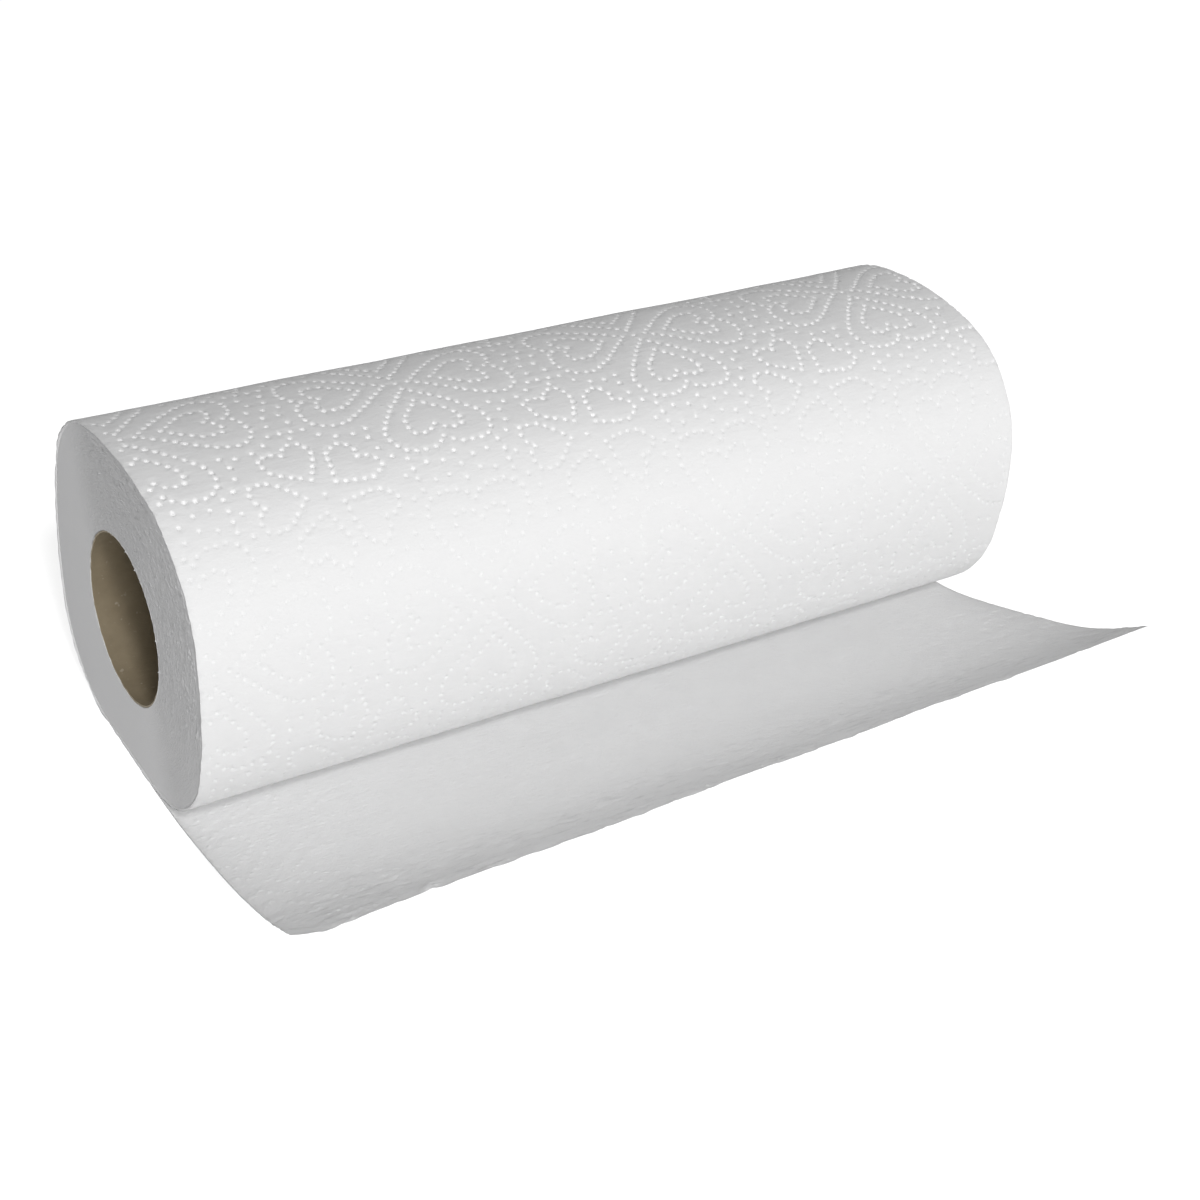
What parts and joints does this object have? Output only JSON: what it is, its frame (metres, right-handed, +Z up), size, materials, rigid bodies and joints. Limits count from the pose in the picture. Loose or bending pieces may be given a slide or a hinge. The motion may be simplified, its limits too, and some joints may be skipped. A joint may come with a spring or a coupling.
{
  "type": "paper towel roll",
  "caption": "Soft embossed paper towel roll on a cardboard core, lying on its flattened side with the loose end of the web curling up in front.",
  "frame": {"origin": "middle of the core's bore, on its axis, halfway along the roll", "axes": "+X along the core, away from the end that the picture shows; -Y towards the loose end in front; +Z up, square to the flat seat that the roll lies on"},
  "size_m": [0.23, 0.1419, 0.0815],
  "materials": {
    "towel_paper": "soft matt white tissue, embossed with raised dots",
    "core_board": "matt grey-brown board, wound in a spiral"
  },
  "bodies": {
    "root": {"towel_roll": "towel_paper", "cardboard_core": "core_board"}
  },
  "joints": []
}
